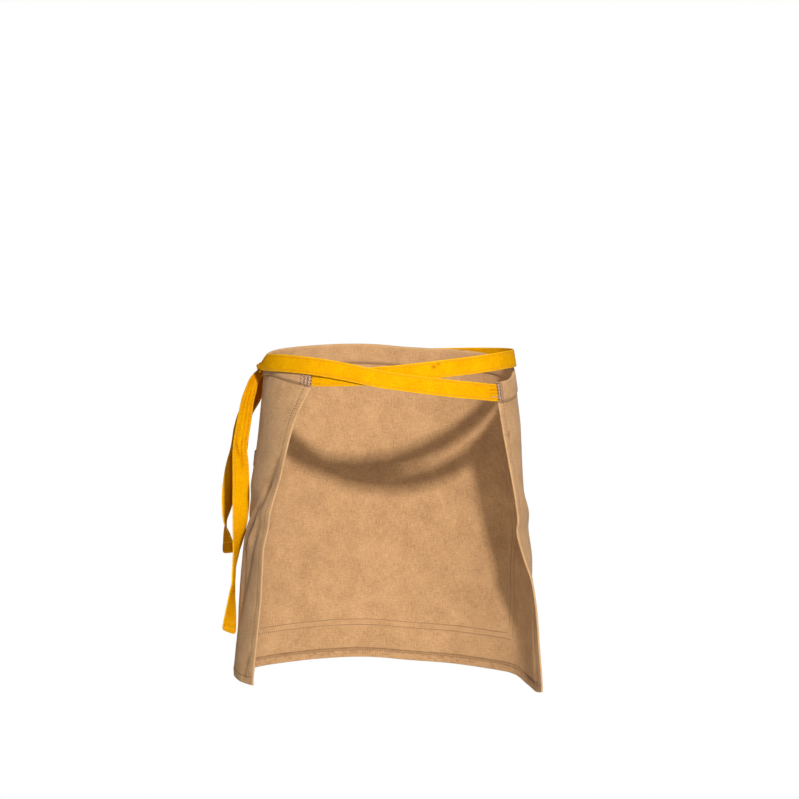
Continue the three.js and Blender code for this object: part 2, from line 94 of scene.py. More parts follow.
# Ties and knot
TIE_WIDTH = 19.5
TIE_THICK = 1.4
TIE_SEWN_IN = 16
TIE_STEP = 9
TIE_LINE = -(BAND_HEIGHT - BAND_WALL - 0.7 - TIE_WIDTH / 2)
TIE_STITCH = 2.1
TIE_STITCH_SHARE = 1 - 2 * TIE_STITCH / TIE_WIDTH
TIE_END_REACH = 14
TIE_END_ROUND = 1.6
LEFT_END_ROWS = (6, 13.5)
RIGHT_END_ROWS = (13.5,)
LEFT_END_SLANT = 2.2
RIGHT_END_SLANT = 0
KNOT_WIDTH = 6
KNOT_THICK = 2.8
KNOT_RADIUS = KNOT_THICK / 2 + 0.95
KNOT_TURNS = 1.5
KNOT_BACK = 22
KNOT_FRONT = 42
KNOT_SLANT = 0.435
KNOT_CLEAR = 1.3
KNOT_HEIGHT = 4.5
KNOT_STEPS = 40
KNOT_ROLL = 80

# Fine mesh, edges and thread
GRID = 2
MESH_STEP = 2.6
POCKET_STEP = 3
TIE_SPACING = 2.4
ROUND = 1.0
# Reach of the pale edges, which are partly worn cloth and partly painted highlight
WEAR_AND_HIGHLIGHT_REACH = 1.3
HEM_GROOVE = 0.3
POCKET_GROOVE = 0.28
STITCH_PITCH = 2.9
STITCH_LENGTH = 1.9
THREAD = 0.42
TIE_THREAD = 0.26
TIE_END_THREAD = 0.36
BAND_STITCH = 1.8
BAND_STITCH_OUT = 1.62
TACK_OUT = 1.78

# Unevenness of the cloth: heights of its waves, crumples and puckers; and the strength and size of the
# painted shade in the bottom hem's roping
SOFT_WAVE = 1.0
SMALL_WAVE = 0.45
CRUMPLE = 0.13
BAND_PUCKER = 0.4
HEM_PUCKER = 0.34
ROPING_SHADE = 0.6
ROPING_SHADE_SIZE = 3.4

# Specks: place and size on the panel's cloth, and place and size on the tie behind the back
PANEL_SPECK = (248, 39, 1.7, 3)
BACK_SPECKS = ((47.3, 4.7, 2.2), (52.5, 8.0, 1.5))
SPECK_DEPTH = 0.85


def table(columns, *rows):
    """A table of numbers, as its named columns."""
    return dict(zip(columns.split(), np.array(rows, float).T))


# The worn outline at each level below the waistband's seam
LEVELS = table(
    "drop left right depth front left_swing right_swing",
    (0, 142.5, 141, 105, 105, 0, 0),
    (40, 146.7, 145.5, 109, 109, 7.3, -2.4),
    (85, 150.3, 147.4, 113, 112, 9.1, 0.3),
    (125, 155.9, 148.5, 116.5, 115, 6.7, 3.1),
    (140, 155.8, 151.4, 117.8, 116, 8.7, 0.2),
    (155, 158.4, 157.6, 119, 117, 5.5, -8.5),
    (185, 161, 162.2, 121, 118.8, 7.8, -7.6),
    (215, 163.5, 156.1, 123, 120.3, 4.8, 7.6),
    (255, 168, 156.7, 126, 122, -1, 12.2),
    (337, 179.7, 150, 130, 126, -10.7, 22.5),
)

# Ridges and valleys along lines in the panel's cloth
FOLDS = table(
    "from_across from_down to_across to_down height width",
    (-276, 122, -222, 172, -5, 13),
    (-272, 172, -250, 262, -2.2, 9),
    (-262, 150, -225, 260, 3, 16),
    (225, 128, 188, 152, 4, 11),
    (150, 170, 168, 337, 4, 22),
    (-150, 200, -165, 337, 4, 24),
    (234, 236, 235, 312, -6.5, 15),
)

# Small sharp creases in the panel and a bulge of its left hem, in the same terms
CREASES = table(
    "from_across from_down to_across to_down height width",
    (-289, 92, -279, 124, -1.8, 3.5),
    (-279, 124, -278, 154, -2.6, 3.5),
    (-270, 148, -255, 182, -3.2, 5),
    (-277, 156, -264, 184, 2.4, 4),
    (-278, 181, -262, 234, -1.4, 4),
    (-252, 192, -249, 256, -1.5, 4),
    (-288, 318, -284, 334, -1.5, 3),
    (-301, 153, -292, 153, 2.8, 11),
)

# Creases in the ties: distances back from the tie's tip, and shares across it
LEFT_TIE_CREASES = table(
    "from_back from_across to_back to_across height width",
    (270, -0.4, 205, -0.62, 0.4, 0.14),
    (284, 0.1, 200, 0.26, 0.9, 0.12),
    (262, 0.62, 212, 0.7, 0.5, 0.12),
    (218, -0.75, 192, 0.25, 0.7, 0.18),
)
RIGHT_TIE_CREASES = table(
    "from_back from_across to_back to_across height width",
    (613, 0.4, 601, 0.28, 0.6, 0.1),
    (613, -0.02, 603, -0.12, 0.5, 0.1),
)

# The ties round the waist
LEFT_TIE_RUN = table(
    "along out height gather",
    (-301, 0, -7.2, 0),
    (-345, 0, -6.8, 0),
    (-391, 0, -3.6, 0),
    (-469, 0.2, 4.8, 0),
    (-518, 2.6, 10.4, 0),
    (-550, 3.6, 13.8, 0),
    (-585, 4, 16, 0),
    (-608, 4.6, 17.4, 0),
    (-632, 4.8, 18.6, 0),
    (-690, 4, 19.4, 0),
    (-790, 4, 17.6, 0),
    (-870, 4, 13, 0),
    (-893, 4.6, 11, 0.05),
    (-908, 6.2, 9.4, 0.45),
    (-917, 7.3, 8, 0.9),
    (-924, 8, 7, 1),
)
RIGHT_TIE_RUN = table(
    "along out height gather",
    (257, 0, -24, 0),
    (290, 0.9, -21.4, 0),
    (323, 2.1, -18.8, 0),
    (379, 2.6, -11.9, 0),
    (410, 2.8, -6.4, 0),
    (445, 3.2, 0.8, 0),
    (478, 3.6, 5.8, 0),
    (510, 4, 8.8, 0),
    (536, 4.6, 10.2, 0),
    (550, 5, 10.6, 0.04),
    (562, 5.8, 9.2, 0.34),
    (572, 6.8, 8.9, 0.64),
    (581, 7.6, 8.2, 0.93),
    (592, 7.4, 7.6, 1),
    (600, 7.3, 7, 1),
)

# The hanging ends of the ties
LEFT_TIE_END = table(
    "x y z facing tip width thick crease",
    (-148.4, 18, 1.4, 180, -80, 6.4, 2.9, 0),
    (-150, 11, -0.8, 180, -66, 7.6, 2.8, -0.6),
    (-152.8, 4.6, -4.6, 180, -48, 9.2, 2.7, -1.4),
    (-155.6, 0.4, -10.4, 180, -26, 11, 2.5, -2.4),
    (-158.4, -2.2, -20.5, 180, -9, 13.4, 2.2, -3.2),
    (-161.7, -3.5, -31.6, 180, 0, 14.6, 1.9, -3.4),
    (-165.2, -4, -52, 178, 0, 16.2, 1.6, -3),
    (-168.6, -4, -72, 178, 0, 16.8, 1.5, -2.4),
    (-170.6, -4, -86, 180, 0, 16.2, 1.5, -3),
    (-169.7, -4, -106, 182, 0, 18.6, 1.4, -1),
    (-169.3, -4, -140, 184, 0, 19.3, 1.4, 0),
    (-169.7, -4, -156, 202, 0, 19.5, 1.4, 0),
    (-171.6, -4, -180.6, 226, 0, 19.5, 1.4, 0),
    (-174.6, -4, -201, 251, 0, 19.5, 1.4, -0.8),
    (-177.3, -4, -222, 264, 0, 19.5, 1.4, -1.6),
    (-178.2, -4, -238, 263, 0, 19.5, 1.4, -1.6),
    (-179.9, -4, -255, 250, 0, 19.5, 1.4, -0.8),
    (-181.3, -4, -275, 231, 0, 19.5, 1.4, 0),
    (-183.2, -4, -294, 216, 0, 19.5, 1.4, 0),
)
RIGHT_TIE_END = table(
    "x y z facing tip width thick crease",
    (-139.4, 46, 1.8, 0, -78, 6.4, 2.9, 0),
    (-143.5, 50, 0.2, 0, -56, 8, 2.8, 0.5),
    (-148.3, 51, -5.5, 0, -30, 11, 2.6, 1.2),
    (-151.2, 50, -15, 0, -10, 13, 2.3, 2),
    (-155.8, 47.5, -28, 0, 0, 14.5, 1.9, 2.4),
    (-165.9, 44, -45, 2, 0, 16, 1.6, 2),
    (-170.8, 42, -64, 4, 0, 18.4, 1.4, 1),
    (-174, 41, -87, 6, 0, 19.5, 1.4, 0),
    (-179.4, 40, -107, 10, 0, 19.5, 1.4, 0),
    (-184, 40, -130, 28, 0, 19.5, 1.4, 0),
    (-188.1, 40, -155, 62, 0, 19.5, 1.4, 0.8),
    (-190, 40, -172, 88, 0, 19.5, 1.4, 1.6),
    (-187.9, 40, -185, 114, 0, 19.5, 1.4, 0.8),
    (-184.9, 40, -206.4, 144, 0, 19.5, 1.4, 0),
)

NOISE_ANGLES = np.random.default_rng(11).uniform(0, 2 * math.pi, (256, 256))


def smooth(x):
    """An even step from 0 to 1."""
    x = np.clip(x, 0, 1)
    return x * x * (3 - 2 * x)


def mix(a, b, share):
    return a + (b - a) * share


def unit(vectors):
    return vectors / np.maximum(np.linalg.norm(vectors, axis=-1, keepdims=True), 1e-9)


def ripple(x, y):
    """Smooth noise from about -1 to 1 over a plane, with features about one unit wide."""
    x, y = np.broadcast_arrays(np.asarray(x, float), np.asarray(y, float))
    i, j = np.floor(x).astype(int), np.floor(y).astype(int)
    fx, fy = x - i, y - j

    def corner(a, b):
        angle = NOISE_ANGLES[(i + a) % 256, (j + b) % 256]
        return np.cos(angle) * (fx - a) + np.sin(angle) * (fy - b)

    top = mix(corner(0, 0), corner(1, 0), smooth(fx))
    low = mix(corner(0, 1), corner(1, 1), smooth(fx))
    return 1.5 * mix(top, low, smooth(fy))


def look_up(rows, key, column, at):
    """The smooth cubic through one column of a table, looked up by another column."""
    keys, values, at = rows[key], rows[column], np.asarray(at, float)
    if keys[-1] < keys[0]:
        keys, at = -keys, -at
    i = np.clip(np.searchsorted(keys, at) - 1, 0, len(keys) - 2)
    before, after = np.maximum(i - 1, 0), np.minimum(i + 2, len(keys) - 1)
    span = keys[i + 1] - keys[i]
    u = np.clip((at - keys[i]) / span, 0, 1)
    slope_low = (values[i + 1] - values[before]) / (keys[i + 1] - keys[before]) * span
    slope_high = (values[after] - values[i]) / (keys[after] - keys[i]) * span
    rise = values[i + 1] - values[i]
    curve = 3 * rise - 2 * slope_low - slope_high + u * (slope_low + slope_high - 2 * rise)
    return values[i] + u * (slope_low + u * curve)


def walk_levels(drops, side):
    """Plan points and headings at every millimetre round each level, from the front centre to one side."""
    drops = np.maximum(drops, 0)
    half = look_up(LEVELS, "drop", "left" if side < 0 else "right", drops)
    depth = look_up(LEVELS, "drop", "depth", drops)
    swing = np.radians(look_up(LEVELS, "drop", "left_swing" if side < 0 else "right_swing", drops))
    edge = PANEL_LEFT if side < 0 else PANEL_RIGHT
    x, y = [np.zeros_like(half)], [look_up(LEVELS, "drop", "front", drops)]
    headings = [np.zeros_like(half)]
    turn = np.zeros_like(half)
    for along in range(400):
        dx, dy = half * np.cos(turn), -depth * np.sin(turn)
        heading = np.arctan2(dy, dx) + swing * smooth((along - edge + SWING_REACH) / SWING_REACH)
        x.append(x[-1] + np.cos(heading))
        y.append(y[-1] + np.sin(heading))
        headings.append(heading)
        turn = turn + 1 / np.hypot(dx, dy)
    return np.stack(x, -1), np.stack(y, -1), np.stack(headings, -1)


def plan_points(across, drops):
    """Plan points and outward directions for each level (rows) and each distance across (columns)."""
    across = np.asarray(across, float)
    parts = []
    for side in (-1, 1):
        x, y, heading = walk_levels(np.asarray(drops, float), side)
        at = np.abs(across)
        i = np.minimum(at.astype(int), x.shape[1] - 2)
        lerp = lambda values: mix(values[:, i], values[:, i + 1], at - i)
        h = lerp(heading)
        parts.append(np.stack([side * lerp(x), lerp(y), -side * np.sin(h), np.cos(h)], -1))
    return np.where((across < 0)[None, :, None], parts[0], parts[1])


def fold_height(across, down, folds):
    """How far a table of folds lifts the cloth off its plain outline."""
    height = np.zeros(np.broadcast(across, down).shape)
    for a0, d0, a1, d1, high, width in zip(*folds.values()):
        run = math.hypot(a1 - a0, d1 - d0)
        along = ((across - a0) * (a1 - a0) + (down - d0) * (d1 - d0)) / run
        aside = ((across - a0) * (d1 - d0) - (down - d0) * (a1 - a0)) / run
        past = np.maximum(0, np.maximum(-along, along - run))
        height += high * np.exp(-((aside / width) ** 2) - (past / (2 * width)) ** 2)
    return height * smooth(down / 60)


def cloth_unevenness(across, down):
    """Soft waves, small crumples, and the puckers that stitching draws along seams and hems."""
    hung = smooth(down / 50)
    height = hung * SOFT_WAVE * ripple(across / 60 + 3, down / 95)
    height += hung * SMALL_WAVE * ripple(across / 24, down / 34 + 9)
    height += smooth(down / 8) * CRUMPLE * ripple(across / 7.5, down / 8.5)
    height += BAND_PUCKER * ripple(across / 6, 0.3) * np.exp(-((down - 6) / 9) ** 2) * (down > 0)
    edges = ((across + PANEL_LEFT, down), (PANEL_RIGHT - across, down + 50), (PANEL_DROP - down, across))
    for inside, along in edges:
        near_stitch = np.exp(-(((inside - HEM_STITCH) / 4.5) ** 2))
        height += HEM_PUCKER * ripple(along / 5.5, inside / 14) * near_stitch
    return height


def band_tilt(x, y):
    """The height of the waistband's middle: a tilted plane, lower at the left hip and higher at the right."""
    shift = np.where(x < 0, LEFT_HIP_SHIFT, RIGHT_HIP_SHIFT)
    reach = np.where(x < 0, LEFT_HIP_REACH, RIGHT_HIP_REACH)
    at_hip = smooth(np.abs(x) / HIP_SIDE) * smooth((y - HIP_FROM) / reach)
    return BAND_LIFT + BAND_ROLL * x + BAND_PITCH * y + shift * at_hip


class Cloth:
    """The middle of the panel's cloth on a fine grid across and down, with its outward normals."""

    def __init__(self):
        self.across = np.arange(-PANEL_LEFT - 2 * GRID, PANEL_RIGHT + 3 * GRID, GRID, float)
        self.down = np.arange(-GRID * math.ceil(BAND_HEIGHT / GRID + 1), PANEL_DROP + 3 * GRID, GRID, float)
        plan = plan_points(self.across, self.down)
        x, y, out_x, out_y = np.moveaxis(plan, -1, 0)
        seam = int(np.argmin(np.abs(self.down)))
        tilt = band_tilt(x[seam], y[seam]) - BAND_HEIGHT / 2
        hung = 1 - TAKEN_UP * smooth((self.across - TAKEN_UP_FROM) / (PANEL_RIGHT - TAKEN_UP_FROM))
        slide = np.hypot(np.diff(x[seam:], axis=0), np.diff(y[seam:], axis=0))
        fall = np.sqrt(np.maximum(0, (hung * GRID) ** 2 - slide**2))
        z = np.empty_like(x)
        z[: seam + 1] = tilt - self.down[: seam + 1, None]
        z[seam + 1 :] = tilt - np.cumsum(fall, axis=0)
        across, down = np.meshgrid(self.across, self.down)
        folded = fold_height(across, down, FOLDS) + fold_height(across, down, CREASES)
        height = np.where(down > 0, folded + cloth_unevenness(across, down), BAND_LEAN * down)
        self.points = np.stack([x + height * out_x, y + height * out_y, z], -1)
        along_across = np.gradient(self.points, axis=1)
        along_down = np.gradient(self.points, axis=0)
        self.normals = unit(np.cross(along_across, along_down))

    def at(self, across, down):
        """Points and normals at places on the cloth."""
        u = np.clip((np.asarray(across, float) - self.across[0]) / GRID, 0, len(self.across) - 1.001)
        v = np.clip((np.asarray(down, float) - self.down[0]) / GRID, 0, len(self.down) - 1.001)
        u, v = np.broadcast_arrays(u, v)
        i, j = u.astype(int), v.astype(int)
        fu, fv = (u - i)[..., None], (v - j)[..., None]

        def blend(field):
            top = mix(field[j, i], field[j, i + 1], fu)
            low = mix(field[j + 1, i], field[j + 1, i + 1], fu)
            return mix(top, low, fv)

        return blend(self.points), unit(blend(self.normals))

    def place(self, across, down, out):
        points, normals = self.at(across, down)
        return points + normals * np.asarray(out, float)[..., None]


cloth = Cloth()


def make_mesh(name, points, faces, material, fields):
    """An object from points in millimetres. Each field is a value or a vector kept at every point."""
    mesh = bpy.data.meshes.new(name)
    mesh.from_pydata((points * MM).tolist(), [], faces)
    mesh.polygons.foreach_set("use_smooth", np.ones(len(mesh.polygons), bool))
    for field, values in fields.items():
        vector = values.ndim == 2
        layer = mesh.attributes.new(field, "FLOAT_VECTOR" if vector else "FLOAT", "POINT")
        layer.data.foreach_set("vector" if vector else "value", values.astype(np.float32).ravel())
    mesh.materials.append(material)
    mesh.update()
    piece = bpy.data.objects.new(name, mesh)
    bpy.context.scene.collection.objects.link(piece)
    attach(piece, "root")
    return piece


def quads(rows, columns, flip=False):
    """The faces of a grid of points, row by row."""
    corner = (np.arange(rows - 1)[:, None] * columns + np.arange(columns - 1)).ravel()
    order = (0, columns, columns + 1, 1) if flip else (0, 1, columns + 1, columns)
    return np.stack([corner + step for step in order], -1)


def wall_faces(rows, columns):
    """The faces of a closed wall: an outer grid, an inner grid after it, and the rim between them."""
    inner = rows * columns
    grid = np.arange(inner).reshape(rows, columns)
    loop = np.concatenate([grid[0, :-1], grid[:-1, -1], grid[-1, :0:-1], grid[:0:-1, 0]])
    following = np.roll(loop, -1)
    rim = np.stack([following, loop, loop + inner, following + inner], -1)
    return np.concatenate([quads(rows, columns), quads(rows, columns, True) + inner, rim]).tolist()


def wall(name, across, down, inner, outer, material, fields):
    """A closed wall of cloth between two distances from the middle of the panel's cloth."""
    points = np.concatenate([cloth.place(across, down, out).reshape(-1, 3) for out in (outer, inner)])
    flat = np.stack([across, down, np.zeros_like(across)], -1).reshape(-1, 3)
    both = {name: np.broadcast_to(values, (2, *across.shape)).ravel() for name, values in fields.items()}
    both["cloth"] = np.concatenate([flat, flat + (0.4, 0.7, 9)])
    return make_mesh(name, points, wall_faces(*across.shape), material, both)


def stops(low, high, step, kept=()):
    """Even steps from low to high, with closer chosen values among them."""
    even = np.arange(low, high, step)
    kept = np.array(sorted({low, high, *kept}))
    clear = np.abs(even[:, None] - kept).min(1) > 0.45 * step
    return np.sort(np.concatenate([even[clear], kept]))


def rounded(inside):
    """The share of a wall's thickness that is left at a distance inside its edge."""
    return np.sqrt(np.maximum(0.02, 1 - (1 - np.minimum(inside / ROUND, 1)) ** 2))


EDGE_STOPS = np.array([0, 0.15, 0.45, 1.0, 2.2])
STITCH_STOPS = HEM_STITCH + np.array([-1.4, -0.6, 0, 0.6])
HEM_STOPS = np.concatenate([EDGE_STOPS, STITCH_STOPS, [HEM_WIDTH - 0.1, HEM_WIDTH + 0.5]])
POCKET_HEM_STOPS = np.array([-2.6, -2, -1.4, 0, 0.6])


def groove(inside, row, depth):
    """The groove that a stitch row or a seam draws into the cloth."""
    return depth * np.exp(-(((inside - row) / 0.7) ** 2))


def make_panel(material):
    across, down = np.meshgrid(
        stops(-PANEL_LEFT, PANEL_RIGHT, MESH_STEP, [*(HEM_STOPS - PANEL_LEFT), *(PANEL_RIGHT - HEM_STOPS)]),
        stops(-PANEL_TUCK, PANEL_DROP, MESH_STEP, [0, 0.6, *(PANEL_DROP - HEM_STOPS)]),
    )
    side = np.minimum(across + PANEL_LEFT, PANEL_RIGHT - across)
    bottom = PANEL_DROP - down
    edge = np.minimum(side, bottom)
    in_hem = (edge <= HEM_WIDTH) & (down > 0.5)
    low = -CANVAS / 2 - np.where(in_hem, HEM_EXTRA, 0)
    high = np.full_like(low, CANVAS / 2)
    sunk = groove(side, HEM_STITCH, HEM_GROOVE) * (bottom > HEM_STITCH)
    sunk = sunk + groove(bottom, HEM_STITCH, HEM_GROOVE)
    middle, half = (high + low) / 2, (high - low) / 2 * rounded(edge)
    # Pale edges: partly worn cloth, partly painted highlight along the outline and along the hems' fold line
    wear_and_highlight = np.exp(-edge / WEAR_AND_HIGHLIGHT_REACH) + 0.35 * np.exp(-(((edge - HEM_WIDTH) / 1.2) ** 2))
    wear_and_highlight = wear_and_highlight * (0.75 + 0.5 * ripple(across / 6, down / 6)) * (down > 0)
    speck_across, speck_down, wide, tall = PANEL_SPECK
    speck = np.exp(-(((across - speck_across) / wide) ** 2 + ((down - speck_down) / tall) ** 2))
    # Painted shade: darker in the stitch grooves, along the band's seam and in the valleys of the creases; on
    # the inner face also along the hems' inner edge and in the roping of the bottom hem
    painted_shade = 1.1 * sunk + groove(down, 0.5, 0.45) + 0.22 * np.maximum(-fold_height(across, down, CREASES), 0)
    roping_shade = np.clip(ripple(across / ROPING_SHADE_SIZE + bottom / 4, bottom / 3), 0, 1)
    roping_shade = ROPING_SHADE * roping_shade * smooth((HEM_WIDTH - bottom) / 2)
    painted_shade = np.stack([painted_shade, painted_shade + groove(edge, HEM_WIDTH + 0.4, 0.9) + roping_shade])
    return wall("apron_panel", across, down, middle - half + 0.6 * sunk, middle + half - sunk, material,
                {"wear_and_highlight": np.clip(wear_and_highlight, 0, 1), "stain": speck, "painted_shade": np.clip(painted_shade, 0, 1)})


def make_pocket(material):
    seams = np.concatenate([EDGE_STOPS, *(row + np.array([-0.6, 0, 0.6]) for row in POCKET_ROWS)])
    hem = POCKET_TOP + POCKET_HEM
    across, down = np.meshgrid(
        stops(POCKET_LEFT, POCKET_RIGHT, POCKET_STEP, [*(POCKET_LEFT + seams), *(POCKET_RIGHT - seams)]),
        stops(POCKET_TOP, POCKET_BOTTOM, POCKET_STEP,
              [*(POCKET_TOP + EDGE_STOPS), *(hem + POCKET_HEM_STOPS), *(POCKET_BOTTOM - seams)]),
    )
    side = np.minimum(across - POCKET_LEFT, POCKET_RIGHT - across)
    bottom = POCKET_BOTTOM - down
    gape = POCKET_GAPE * np.cos(np.pi * (across - PANEL_CENTRE) / POCKET_WIDTH)
    gape = gape * (1 - smooth((down - POCKET_TOP) / POCKET_GAPE_DROP))
    held = smooth((side - 9) / 25) * smooth((bottom - 9) / 25)
    lift = gape + held * (0.45 + 0.4 * ripple(across / 32, down / 45) + 0.12 * ripple(across / 9, down / 10))
    low = POCKET_OFF + np.maximum(lift, 0)
    high = low + POCKET_CLOTH * np.where(down <= hem, 1.9, 1)
    inside = np.minimum(side, bottom)
    edge = np.minimum(inside, down - POCKET_TOP)
    sunk = groove(down, hem - 2, POCKET_GROOVE)
    for row in POCKET_ROWS:
        sunk = sunk + groove(side, row, POCKET_GROOVE) * (bottom > row)
        sunk = sunk + groove(bottom, row, POCKET_GROOVE) * (side > row)
    middle, half = (high + low) / 2, (high - low) / 2 * rounded(edge)
    wear_and_highlight = np.exp(-edge / WEAR_AND_HIGHLIGHT_REACH) * (0.75 + 0.5 * ripple(across / 6, down / 6))
    # Painted shade in the stitch grooves
    return wall("apron_pocket", across, down, middle - half, middle + half - sunk, material,
                {"wear_and_highlight": np.clip(wear_and_highlight, 0, 1), "stain": np.zeros_like(side), "painted_shade": sunk})


def ring_faces(rings, count):
    """The faces of a lofted solid with flat ends, from rings of points in order."""
    start = (np.arange(rings - 1)[:, None] * count + np.arange(count)).ravel()
    following = (np.arange(rings - 1)[:, None] * count + (np.arange(count) + 1) % count).ravel()
    sides = np.stack([start, following, following + count, start + count], -1).tolist()
    last = (rings - 1) * count
    return [*sides, list(range(count))[::-1], list(range(last, last + count))]


def make_band(material):
    """The waistband: a strip folded double that closes on the panel below and on the ties at both ends."""
    ends = [*(EDGE_STOPS - PANEL_LEFT), *(PANEL_RIGHT - EDGE_STOPS)]
    across = stops(-PANEL_LEFT, PANEL_RIGHT, MESH_STEP, ends)
    share = np.linspace(0, 1, 12)
    fold = np.linspace(0, np.pi, 9)
    walls_down = -BAND_HEIGHT + 2 + share * (BAND_HEIGHT - 2)
    outer_down = np.concatenate([walls_down[::-1], -BAND_HEIGHT + 2 - 2 * np.sin(fold[1:-1]), walls_down])
    outer_out = np.concatenate([np.ones(12), np.cos(fold[1:-1]), -np.ones(12)])
    inner_down = np.concatenate([walls_down[::-1], -BAND_HEIGHT + 2 - np.sin(fold[1:-1]), walls_down])
    inner_out = np.concatenate([-np.ones(12), -np.cos(fold[1:-1]), np.ones(12)])
    down = np.concatenate([outer_down, inner_down])
    outside = np.concatenate([np.ones(len(outer_down), bool), np.zeros(len(inner_down), bool)])
    face = np.concatenate([outer_out, inner_out])
    s, d = np.meshgrid(across, down, indexing="ij")
    end = np.minimum(s + PANEL_LEFT, PANEL_RIGHT - s)
    puffed = smooth(end / 7) * smooth(-d / 5)
    hollow = 0.72 + 0.33 * puffed * (1 + 0.5 * ripple(s / 14, d / 9)) - 0.12 * (d > -1.2)
    hollow = hollow - groove(-d, BAND_STITCH, 0.14)
    thickness = BAND_WALL * np.where(outside, rounded(np.minimum(end, np.maximum(-d, 0) + 0.12)), 0)
    wave = 0.22 * ripple(s / 9, d / 13) * puffed
    out = face * (hollow + thickness) + wave
    points = cloth.place(s, np.minimum(d, 0), out)
    flat = np.stack([s, d, 20 * np.sign(face)[None, :] + 0 * s], -1).reshape(-1, 3)
    edge = np.minimum(end, np.minimum(np.maximum(-d, 0), np.maximum(BAND_HEIGHT + d, 0)))
    # Pale edges: partly worn cloth, partly painted highlight
    wear_and_highlight = np.exp(-edge / 1.5) * (0.7 + 0.5 * ripple(s / 6, d / 6))
    # Painted shade: darker between the tack stitches at both ends and along the stitch groove
    tack_reach = np.where(s < 0, LEFT_TACKS[-1], RIGHT_TACKS[-1]) + TACK_MARGIN
    tack_shade_strength = np.where(s < 0, 0.5, 0.85) + 0.5 * ripple(s / 1.8, d / 2.1)
    tacked = smooth((tack_reach - end) / 1.5) * smooth(-d / 2) * tack_shade_strength
    painted_shade = tacked + groove(-d, BAND_STITCH, 0.25)
    fields = {"cloth": flat, "wear_and_highlight": np.clip(wear_and_highlight, 0, 1).ravel(), "stain": np.zeros(s.size),
              "painted_shade": np.clip(painted_shade, 0, 1).ravel()}
    return make_mesh("apron_waistband", points.reshape(-1, 3), ring_faces(*s.shape), material, fields)


def half_ring(side):
    """Half the length of the waist loop on one side."""
    a, b = LEVELS[side][0], LEVELS["depth"][0]
    return math.pi / 2 * (3 * (a + b) - math.sqrt((3 * a + b) * (a + 3 * b)))


def run_frames(run, direction):
    """A tie's stretch round the waist: points, outward directions, widths, thicknesses and creases."""
    start, end = run["along"][0], run["along"][-1]
    inside = np.array([TIE_SEWN_IN, HEM_WIDTH, 0])
    sewn_points, sewn_out = cloth.at(start - direction * inside, np.full(3, TIE_LINE))
    count = max(1, round(abs(end - start) / TIE_STEP))
    along = np.linspace(start, end, count + 1)[1:]
    left, right = half_ring("left"), half_ring("right")
    ring = left + right
    place = np.where(along < -left, along + ring, np.where(along > right, along - ring, along))
    x, y, out_x, out_y = np.moveaxis(plan_points(place, [0])[0], -1, 0)
    out, height, gather = (look_up(run, "along", column, along) for column in ("out", "height", "gather"))
    above = height - band_tilt(x, y) + BAND_HEIGHT / 2
    reach = out - BAND_LEAN * above
    roll = np.radians(KNOT_ROLL * gather**2)
    points = np.stack([x + reach * out_x, y + reach * out_y, height], -1)
    level = np.cos(roll)
    outward = np.stack([level * out_x, level * out_y, level * BAND_LEAN + np.sin(roll)], -1)
    gather = np.concatenate([np.zeros(3), gather])
    sizes = np.stack([mix(TIE_WIDTH, KNOT_WIDTH, gather), mix(TIE_THICK, KNOT_THICK, gather), 0 * gather], -1)
    return np.concatenate([sewn_points, points]), np.concatenate([sewn_out, outward]), sizes


def knot_frames(direction):
    """A tie's stretch in the knot, in on top and out below."""
    reach = math.hypot(KNOT_RADIUS + KNOT_THICK / 2, KNOT_WIDTH / 2)
    middle_y = (KNOT_BACK + KNOT_FRONT) / 2
    hip_x = LEVELS["left"][0] * math.sqrt(1 - (middle_y / LEVELS["depth"][0]) ** 2)
    middle_x = -(hip_x + (BAND_HALF + KNOT_CLEAR + reach) * math.hypot(1, KNOT_SLANT))
    share = np.linspace(0, 1, KNOT_STEPS + 1)[::direction]
    twist = 2 * np.pi * (KNOT_TURNS * (0.6 * share + 0.4 * smooth(share)) + (0.25 if direction > 0 else 0.75))
    across = np.array([1, -KNOT_SLANT, 0]) / math.hypot(1, KNOT_SLANT)
    spoke = np.cos(twist)[:, None] * across + np.sin(twist)[:, None] * np.array([0, 0, 1])
    y = mix(KNOT_BACK, KNOT_FRONT, share)
    centre = np.stack([middle_x + KNOT_SLANT * (y - middle_y), y, np.full_like(y, KNOT_HEIGHT)], -1)
    sizes = np.tile([KNOT_WIDTH, KNOT_THICK, 0.0], (len(y), 1))
    return centre + KNOT_RADIUS * spoke, spoke, sizes


def end_frames(rows):
    """A hanging end of a tie."""
    facing, tip = np.radians(rows["facing"]), np.radians(rows["tip"])
    points = np.stack([rows["x"], rows["y"], rows["z"]], -1)
    outward = np.stack([np.cos(tip) * np.sin(facing), -np.cos(tip) * np.cos(facing), np.sin(tip)], -1)
    return points, outward, np.stack([rows["width"], rows["thick"], rows["crease"]], -1)


def spline(points, spacing):
    """A centripetal Catmull-Rom curve: its points, and the place of each among the given points."""
    ends = (2 * points[:1] - points[1:2], 2 * points[-1:] - points[-2:-1])
    p = np.concatenate([ends[0], points, ends[1]])
    knots = np.concatenate([[0], np.cumsum(np.sqrt(np.linalg.norm(np.diff(p, axis=0), axis=1)))])
    curve, places = [], []
    for i in range(1, len(p) - 2):
        count = max(1, round(np.linalg.norm(p[i + 1] - p[i]) / spacing))
        last = i == len(p) - 3
        u = np.linspace(0, 1, count + 1)[: None if last else -1]
        t = mix(knots[i], knots[i + 1], u)[:, None]

        def between(a, b, low, high):
            return (a * (knots[high] - t) + b * (t - knots[low])) / (knots[high] - knots[low])

        first = [between(p[k], p[k + 1], k, k + 1) for k in (i - 1, i, i + 1)]
        second = [between(first[k], first[k + 1], i - 1 + k, i + 1 + k) for k in (0, 1)]
        curve.append(between(second[0], second[1], i, i + 1))
        places.append(i - 1 + u)
    return np.concatenate(curve), np.concatenate(places)


